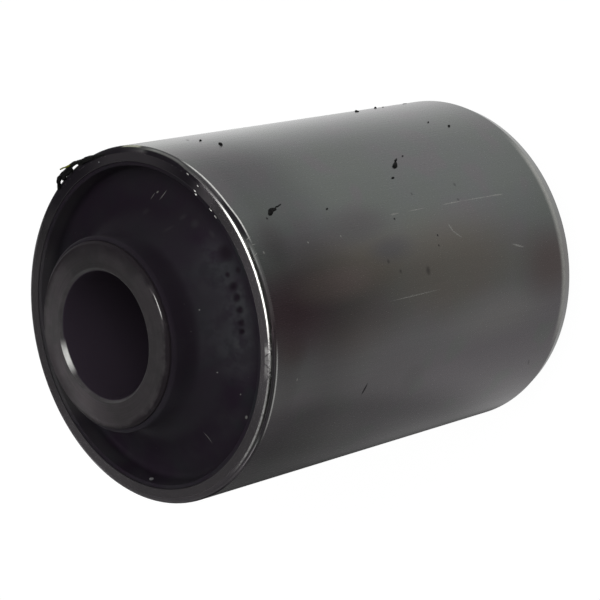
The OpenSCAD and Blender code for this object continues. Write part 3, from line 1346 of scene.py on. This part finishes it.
@dataclass
class RubberElement:
    """The dished rubber bonded between the sleeves."""

    mouth: float
    neck_top: float
    tube: float
    sleeve_end: float
    lip_recess: float = 0.1
    lip_wall: float = 0.7
    lip_lean: float = 0.6
    lip_round: float = 0.9
    dish_depth: float = 3.4
    flare: float = 8.5
    neck_wall: float = 0.8
    edge: float = 0.25
    fine: float = 0.36
    coarse: float = 1.2
    segments: int = 460
    dimples: int = 5
    dimple_start: float = -81.0
    dimple_pitch: float = -5.2
    dimple_reach: float = 20.3
    dimple_height: float = 34.6
    dimple_width: float = 0.55
    dimple_depth: float = 0.22

    @classmethod
    def from_frame(cls) -> "RubberElement":
        """Reads the rubber's sizes off the frame."""
        mouth, neck_top = reach_of("rubber_element")
        tube, _ = reach_of("inner_sleeve")
        _, sleeve_end = reach_of("outer_sleeve")
        return cls(mouth, neck_top, tube, sleeve_end)

    def top_corners(self) -> list[Corner]:
        """Lays out the top end of the section, from the sleeve in to the tube.

        Returns:
            The corners, outermost first.
        """
        floor = self.sleeve_end - self.dish_depth
        lip_top = self.sleeve_end - self.lip_recess
        lip_edge = self.mouth - self.lip_wall
        neck = self.tube + self.neck_wall
        return [
            Corner(self.mouth, lip_top, 0.0, self.fine),
            Corner(lip_edge, lip_top, self.edge, self.fine),
            Corner(lip_edge - self.lip_lean, floor, self.lip_round, self.fine),
            Corner(neck, floor, self.flare, self.fine),
            Corner(neck, self.neck_top, self.neck_wall * 0.9, self.fine),
            Corner(self.tube, self.neck_top, 0.0),
        ]

    def section(self) -> Section:
        """Lays out the whole section, finer at the end that shows its dish."""
        top = self.top_corners()
        bottom = [replace(corner, height=-corner.height, step=self.coarse) for corner in reversed(top)]
        return Section((*bottom, *top))

    def build(self, workshop: Workshop) -> Piece:
        """Turns and dresses the rubber.

        Args:
            workshop: The geometry trees.

        Returns:
            The finished piece.
        """
        path = self.section().path("rubber section")
        piece = workshop.ring.grow("rubber_element_dish", path, {
            "Segments": self.segments, "Wave depth": 0.12 * MM, "Wave scale": 160.0, "Wave draw": 1.0,
            "Seed": 9.0, "Dimples": self.dimples, "Dimple start": math.radians(self.dimple_start),
            "Dimple pitch": math.radians(self.dimple_pitch), "Dimple reach": self.dimple_reach * MM,
            "Dimple height": self.dimple_height * MM, "Dimple width": self.dimple_width * MM,
            "Dimple depth": self.dimple_depth * MM, "Material": BondedRubber().material()})
        return seat(piece, Slot.RUBBER, "rubber_element")


@dataclass(frozen=True)
class Grain:
    """A grain stuck to the outer sleeve's side.

    Attributes:
        angle: Degrees from the side that faces -Y, towards +X.
        share: Share of the sleeve's length, from the top end.
        long: Half its length.
        wide: Half its width.
        high: How far it stands proud.
        turn: Angle of its length from the sleeve's axis, in degrees.
    """

    angle: float
    share: float
    long: float
    wide: float
    high: float
    turn: float = 0.0


@dataclass
class StuckCrumbs:
    """Rubber crumbs that the moulding left on the outer sleeve's side."""

    radius: float
    end: float
    grains: tuple[Grain, ...] = (
        Grain(26.3, 0.108, 0.75, 0.42, 0.3, 40),
        Grain(26.9, 0.116, 0.95, 0.36, 0.28, 8),
        Grain(28.0, 0.139, 0.9, 0.13, 0.12, 14),
        Grain(35.2, 0.545, 0.85, 0.42, 0.35, 42),
        Grain(37.3, 0.561, 0.5, 0.22, 0.25, 42),
        Grain(30.4, 0.511, 0.26, 0.2, 0.18),
        Grain(38.7, 0.591, 0.14, 0.12, 0.1),
        Grain(61.9, 0.168, 0.6, 0.2, 0.25, 73),
        Grain(68.3, 0.150, 0.22, 0.16, 0.15),
        Grain(77.4, 0.712, 0.5, 0.25, 0.25, 90),
        Grain(79.7, 0.794, 0.25, 0.2, 0.25),
        Grain(79.1, 0.816, 0.2, 0.14, 0.1, 60),
        Grain(80.0, 0.901, 0.6, 0.14, 0.1, 5),
        Grain(49.8, 0.829, 0.3, 0.18, 0.2, 60),
        Grain(54.2, 0.788, 0.18, 0.15, 0.15),
        Grain(23.8, 0.266, 0.24, 0.14, 0.1, 40),
    )

    def build(self, workshop: Workshop) -> Piece:
        """Grows and dresses the crumbs.

        Args:
            workshop: The geometry trees.

        Returns:
            The finished piece.
        """
        places, sizes, turns = [], [], []
        for grain in self.grains:
            angle = math.radians(grain.angle)
            outwards = Vector((math.sin(angle), -math.cos(angle), 0.0))
            places.append(outwards * self.radius + Vector((0.0, 0.0, self.end * (1 - 2 * grain.share))))
            sizes.append(Vector((grain.wide, grain.long, grain.high)) * MM)
            upright = outwards.to_track_quat("Z", "Y")
            turns.append(Vector((upright @ Quaternion((0, 0, 1), math.radians(grain.turn))).to_euler()))
        piece = grow_grains(workshop, "sleeve_crumbs", places, sizes, turns, CRUMB_RUBBER, 0.4)
        return seat(piece, Slot.RUBBER)


def grow_grains(workshop: Workshop, name: str, places: list[Vector], sizes: list[Vector],
                turns: list[Vector], finish: PlainTrim, lump: float) -> Piece:
    """Grows a set of lumpy grains as one piece.

    Args:
        workshop: The geometry trees.
        name: The piece's name.
        places: Their centres, in millimetres.
        sizes: Their half sizes, in metres.
        turns: Their turns, as Euler angles.
        finish: Their finish.
        lump: How far their surface is pushed about, in millimetres.

    Returns:
        The piece.
    """
    mesh = mesh_of_paths(name + " places", [[place] for place in places])
    for label, values in (("grain_size", sizes), ("grain_turn", turns)):
        column = mesh.attributes.new(label, "FLOAT_VECTOR", "POINT")
        for index, value in enumerate(values):
            column.data[index].vector = value
    return workshop.grains.grow(name, mesh, {
        "Detail": 4, "Lump": lump * MM, "Lump scale": 1400.0, "Seed": 4.0, "Material": finish.material()})


@dataclass
class RimTrim:
    """What hangs on the front rim: torn rubber flash, a lint fibre, steel burrs and dust."""

    sleeve_end: float

    def on_end(self, angle: float, radius: float, lift: float) -> Vector:
        """Returns a place over the sleeve's top end, by angle in degrees, radius and lift."""
        turn = math.radians(angle)
        return Vector((radius * math.cos(turn), radius * math.sin(turn), self.sleeve_end + lift))

    def flash(self, workshop: Workshop) -> Piece:
        """Grows the torn strip of rubber flash.

        Args:
            workshop: The geometry trees.

        Returns:
            The finished piece.
        """
        outer = ((27.3, 28.2, 0.0), (25.6, 28.9, 0.3), (23.5, 29.2, 0.5), (21.0, 29.2, 0.5),
                 (18.5, 29.1, 0.6), (15.5, 29.1, 0.6), (12.5, 28.9, 0.4), (9.0, 28.7, 0.2),
                 (6.0, 28.5, 0.0), (2.0, 28.2, -0.2), (-2.0, 28.0, -0.5))
        middle = ((23.2, 28.7, 0.2), (20.5, 28.8, 0.3), (17.5, 28.7, 0.2))
        tail = ((13.0, 28.7, 0.2), (9.0, 28.6, 0.2), (5.0, 28.4, 0.1))
        paths = [[self.on_end(*place) for place in strand] for strand in (outer, middle, tail)]
        piece = workshop.strand.grow("rim_flash", mesh_of_paths("flash paths", paths), {
            "Width": 0.75 * MM, "Thickness": 0.65 * MM, "Step": 0.15 * MM, "Ragged": 0.5 * MM,
            "Grain": 900.0, "Seed": 7.0, "Material": CRUMB_RUBBER.material()})
        return seat(piece, Slot.RUBBER)

    def fibre(self, workshop: Workshop) -> Piece:
        """Grows the lint fibre that is caught in the flash.

        Args:
            workshop: The geometry trees.

        Returns:
            The finished piece.
        """
        path = [self.on_end(15.5, 29.2, 1.0), self.on_end(17.0, 29.3, 1.1), self.on_end(18.5, 29.5, 1.2),
                self.on_end(20.0, 29.7, 1.2)]
        piece = workshop.strand.grow("rim_fibre", mesh_of_paths("fibre path", [path]), {
            "Width": 0.28 * MM, "Thickness": 0.26 * MM, "Step": 0.1 * MM, "Ragged": 0.16 * MM,
            "Grain": 1500.0, "Seed": 3.0, "Material": LINT.material()})
        return seat(piece, Slot.RUBBER)

    def burrs(self, workshop: Workshop) -> Piece:
        """Grows the bright slivers of steel along the sleeve's inner edge.

        Args:
            workshop: The geometry trees.

        Returns:
            The finished piece.
        """
        slivers = ((-40.5, 28.1, 0.35), (-46.1, 27.6, 0.3), (-45.7, 26.6, 0.4),
                   (-46.6, 26.2, 0.3), (-54.9, 26.3, 0.4), (-58.0, 26.2, 0.35))
        lift, width, height = -0.1, 0.12, 0.14
        places = [self.on_end(angle, radius, lift) for angle, radius, _ in slivers]
        sizes = [Vector((width, length, height)) * MM for _, _, length in slivers]
        turns = [Vector((0.0, 0.0, math.radians(angle))) for angle, _, _ in slivers]
        piece = grow_grains(workshop, "lip_burrs", places, sizes, turns, BURR_STEEL, 0.12)
        return seat(piece, Slot.SLEEVE)

    def dust(self, workshop: Workshop) -> Piece:
        """Grows the pale specks of dust on the lip and the end face.

        Args:
            workshop: The geometry trees.

        Returns:
            The finished piece.
        """
        places = [self.on_end(162.5, 25.55, -1.0), self.on_end(3.5, 27.3, 0.05)]
        sizes = [Vector((0.25, 0.36, 0.4)) * MM, Vector((0.14, 0.14, 0.1)) * MM]
        turns = [Vector((0.0, 0.0, math.radians(162.5))), Vector((0.0, 0.0, 0.0))]
        piece = grow_grains(workshop, "lip_dust", places, sizes, turns, DUST, 0.05)
        return seat(piece, Slot.RUBBER)

    def build(self, workshop: Workshop) -> list[Piece]:
        """Builds every piece of trim.

        Args:
            workshop: The geometry trees.

        Returns:
            The finished pieces.
        """
        return [self.flash(workshop), self.fibre(workshop), self.burrs(workshop), self.dust(workshop)]


# Stage


@dataclass
class Studio:
    """The pale floor, the light over it and the room that the steel reflects."""

    floor_height: float
    floor_size: float = 8.0
    floor_colour: Colour = (0.92, 0.92, 0.92, 1.0)
    white_share: float = 0.92
    white_glow: float = 1.05
    key_size: float = 0.5
    key_place: tuple[float, float, float] = (0.15, -0.45, 0.5)
    key_power: float = 2.4
    room_back: float = 0.35
    room_front: float = 0.9
    room_low: float = 2.2
    room_high: float = 0.33
    room_dim: float = 0.07
    window_place: tuple[float, float] = (0.2, 0.03)
    window_half: tuple[float, float] = (0.34, 0.22)
    window_glow: float = 9.0

    def floor(self) -> None:
        """Lays the floor, white to the camera and keeping the bush's shadow."""
        half = self.floor_size / 2
        corners = [(-half, -half, 0.0), (half, -half, 0.0), (half, half, 0.0), (-half, half, 0.0)]
        mesh = bpy.data.meshes.new("floor")
        mesh.from_pydata([Vector(corner) + Vector((0, 0, self.floor_height)) for corner in corners], [],
                         [(0, 1, 2, 3)])
        floor = bpy.data.objects.new("floor", mesh)
        bpy.context.scene.collection.objects.link(floor)
        material = bpy.data.materials.new("floor paper")
        material.use_nodes = True
        bench = NodeBench(material.node_tree)
        bench.tree.nodes.clear()
        rays = bench.add("ShaderNodeLightPath").outputs
        paper = bench.add("ShaderNodeBsdfDiffuse", {"Color": self.floor_colour}).outputs[0]
        white = bench.add("ShaderNodeEmission", {"Strength": self.white_glow}).outputs[0]
        seen = bench.maths("MAXIMUM", rays[Ray.CAMERA.value], rays[Ray.THROUGH.value])
        share = bench.product(seen, self.white_share)
        mixed = bench.add("ShaderNodeMixShader", {0: share, 1: paper, 2: white}).outputs[0]
        level = self.reflected(bench)
        glow = bench.add("ShaderNodeEmission", {"Strength": level}).outputs[0]
        share = bench.product(rays[Ray.GLOSSY.value], self.white_share)
        mixed = bench.add("ShaderNodeMixShader", {0: share, 1: mixed, 2: glow}).outputs[0]
        bench.add("ShaderNodeOutputMaterial", {"Surface": mixed})
        mesh.materials.append(material)

    def reflected(self, bench: NodeBench) -> Socket:
        """Shades the white that the steel reflects, which falls off towards the dim sides of the room.

        Args:
            bench: The floor's material.

        Returns:
            How white the floor is to a reflected ray.
        """
        x, y, _ = bench.add("ShaderNodeSeparateXYZ", {0: bench.places()}).outputs
        level = bench.ease(x, -12.0, 30.0, 0.65, 1.0)
        left = bench.product(bench.ease(x, -30.0, -47.0), bench.ease(y, -38.0, -55.0))
        level = bench.maths("ADD", level, bench.ease(x, -30.0, -60.0, 0.0, 0.05))
        level = bench.maths("MULTIPLY_ADD", left, 0.12, level)
        right = bench.product(bench.ease(x, -5.0, 25.0), bench.ease(y, -18.0, -38.0))
        level = bench.product(level, bench.gain(right, 0.1))
        front = bench.product(bench.ease(y, -70.0, -108.0), bench.ease(x, 130.0, 35.0))
        level = bench.product(level, bench.gain(front, -0.74))
        aside = bench.maths("MULTIPLY_ADD", y, 1.3, bench.product(x, -1.0))
        level = bench.product(level, bench.ease(aside, 22.0, 62.0, 1.0, 0.47))
        level = bench.product(level, bench.ease(aside, 60.0, 130.0, 1.0, 0.45))
        under = bench.product(bench.ease(y, 38.0, 58.0), bench.ease(x, -40.0, -60.0))
        level = bench.product(level, bench.gain(under, -0.34))
        beyond = bench.maths("ADD", bench.maths("MAXIMUM", y, 0.0), 6.0)
        grazing = bench.maths("DIVIDE", bench.maths("SUBTRACT", -29.0, x), beyond)
        close = bench.product(bench.ease(grazing, 0.62, 0.3), bench.ease(y, -4.0, 4.0),
                              bench.ease(x, 15.0, -5.0))
        level = bench.product(level, bench.gain(close, -0.95))
        behind = bench.product(bench.ease(y, -25.0, 70.0), bench.ease(x, 10.0, 40.0))
        level = bench.maths("MULTIPLY_ADD", behind, 0.45, level)
        return bench.product(level, bench.ease(x, 76.0, 98.0, 1.0, 0.84))

    def room(self) -> None:
        """Makes the room's light: pale low down, greyer above, and dim on the camera's side."""
        world = bpy.data.worlds.new("room")
        world.use_nodes = True
        bpy.context.scene.world = world
        bench = NodeBench(world.node_tree)
        bench.tree.nodes.clear()
        towards = bench.add("ShaderNodeTexCoord").outputs["Generated"]
        across, away, up = bench.add("ShaderNodeSeparateXYZ", {0: towards}).outputs
        above = bench.ease(away, -0.3, 0.3, self.room_dim, self.room_high)
        horizon = bench.ease(away, -0.99, -0.9, self.room_dim, self.room_low)
        level = bench.mix(bench.ease(up, 0.12, 0.3), horizon, above)
        from_window = bench.combine(bench.maths("SUBTRACT", across, self.window_place[0]),
                                    bench.maths("SUBTRACT", away, self.window_place[1]), 0.0)
        from_window = bench.vectors("DIVIDE", from_window, (*self.window_half, 1.0))
        from_window = bench.vectors("ABSOLUTE", from_window)
        wide, deep, _ = bench.add("ShaderNodeSeparateXYZ", {0: from_window}).outputs
        window = bench.ease(bench.maths("MAXIMUM", wide, deep), 1.15, 0.85)
        window = bench.product(window, bench.maths("GREATER_THAN", up, 0.0))
        level = bench.maths("MULTIPLY_ADD", window, self.window_glow, level)
        rays = bench.add("ShaderNodeLightPath").outputs
        even = bench.ease(away, 0.3, -0.8, self.room_back, self.room_front)
        level = bench.mix(rays[Ray.GLOSSY.value], even, level)
        strength = bench.maths("MAXIMUM", level, rays[Ray.CAMERA.value])
        background = bench.add("ShaderNodeBackground", {"Strength": strength}).outputs[0]
        bench.add("ShaderNodeOutputWorld", {"Surface": background})
        world.cycles.sampling_method = "NONE"

    def key(self) -> None:
        """Hangs the soft box over the bush."""
        lamp = bpy.data.lights.new("key soft box", "AREA")
        lamp.shape = "SQUARE"
        lamp.size = self.key_size
        lamp.energy = self.key_power
        box = bpy.data.objects.new("key soft box", lamp)
        box.location = self.key_place
        box.visible_glossy = False
        box.rotation_euler = (-Vector(self.key_place)).to_track_quat("-Z", "Y").to_euler()
        bpy.context.scene.collection.objects.link(box)

    def build(self) -> None:
        """Sets up the stage and the light."""
        self.floor()
        self.room()
        self.key()
        bpy.context.scene.view_settings.view_transform = "Standard"


@dataclass
class PhotoCamera:
    """The camera, turned so that the bush lies in the frame as it was pictured."""

    distance: float = 377.1
    elevation: float = 44.39
    aim: tuple[float, float, float] = (-1.46, 0.86, 0.89)
    roll: float = -103.0
    lens: float = 132.18
    sensor: float = 36.0

    def build(self) -> None:
        """Sets the camera up."""
        rise = math.radians(self.elevation)
        eye = Vector((0.0, -math.cos(rise), math.sin(rise))) * self.distance
        look = (Vector(self.aim) - eye).to_track_quat("-Z", "Y")
        data = bpy.data.cameras.new("photo camera")
        data.lens = self.lens
        data.sensor_width = self.sensor
        data.clip_start = 0.01
        camera = bpy.data.objects.new("photo camera", data)
        camera.location = eye * MM
        camera.rotation_euler = (look @ Quaternion((0, 0, 1), math.radians(self.roll))).to_euler()
        bpy.context.scene.collection.objects.link(camera)
        bpy.context.scene.camera = camera


def main() -> None:
    """Builds the bush piece by piece, then the stage and the camera."""
    logging.basicConfig(level=logging.INFO, format="%(name)s %(message)s")
    workshop = Workshop.open()
    sleeve = OuterSleeve.from_frame()
    sleeve.build(workshop)
    RubberElement.from_frame().build(workshop)
    InnerSleeve.from_frame().build(workshop)
    StuckCrumbs(sleeve.radius, sleeve.end).build(workshop)
    RimTrim(sleeve.end).build(workshop)
    Studio(CAD_BOX[0][2]).build()
    PhotoCamera().build()


if __name__ == "__main__":
    main()
